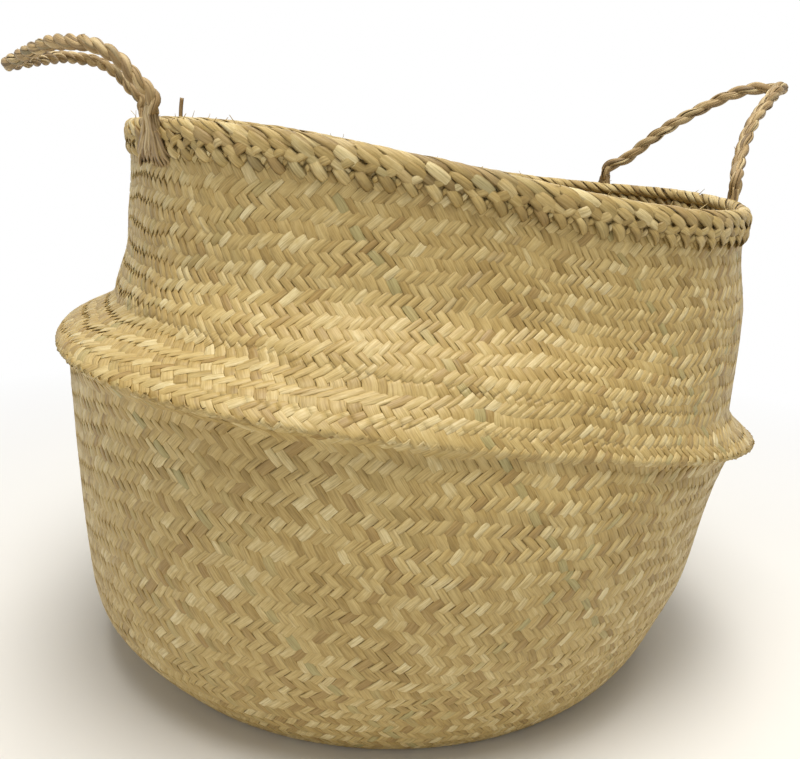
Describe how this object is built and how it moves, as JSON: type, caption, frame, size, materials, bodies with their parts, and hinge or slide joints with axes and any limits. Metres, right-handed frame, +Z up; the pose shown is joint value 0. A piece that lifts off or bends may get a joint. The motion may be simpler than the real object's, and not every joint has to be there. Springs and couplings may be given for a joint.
{
  "type": "belly basket",
  "caption": "Plaited seagrass belly basket whose upper half folds down into a collar, with swinging rope handles.",
  "frame": {"origin": "middle of the floor disc's underside, on the surface that the basket stands on", "axes": "+Z up through the mouth, +X to the right as pictured, from the left handle to the right one, +Y away from the viewer to the back"},
  "size_m": [0.4662, 0.3921, 0.3463],
  "materials": {
    "seagrass_straw": "dry plaited seagrass straw, matt with a faint gloss on the flat straws",
    "seagrass_rope": "dry twisted seagrass straw, matt"
  },
  "bodies": {
    "belly": {"base": "seagrass_straw", "belly_wall": "seagrass_straw", "shoulder": "seagrass_straw"},
    "collar": {"collar_wall": "seagrass_straw", "rim_plait": "seagrass_straw", "rim_roll": "seagrass_straw", "straw_end": "seagrass_straw", "left_handle_foot_front": "seagrass_rope", "left_handle_foot_rear": "seagrass_rope", "right_handle_foot_front": "seagrass_rope", "right_handle_foot_rear": "seagrass_rope"},
    "left_handle": {"left_handle_ply_a": "seagrass_rope", "left_handle_ply_b": "seagrass_rope"},
    "right_handle": {"right_handle_ply_a": "seagrass_rope", "right_handle_ply_b": "seagrass_rope"}
  },
  "joints": [
    {"name": "collar_fold", "type": "slide", "parent": "belly", "child": "collar", "axis": [0.2871, 0.0383, 0.9571], "range_m": [-0.05, 0], "deforming": ["shoulder"]},
    {"name": "left_handle_swing", "type": "hinge", "parent": "collar", "child": "left_handle", "pos_m": [-0.13699, -0.03298, 0.3128], "axis": [0.2996, -0.9537, -0.0265], "range_deg": [-80, 72]},
    {"name": "right_handle_swing", "type": "hinge", "parent": "collar", "child": "right_handle", "pos_m": [0.17475, 0.06519, 0.27887], "axis": [-0.3596, 0.9328, 0.0219], "range_deg": [-80, 80]}
  ]
}
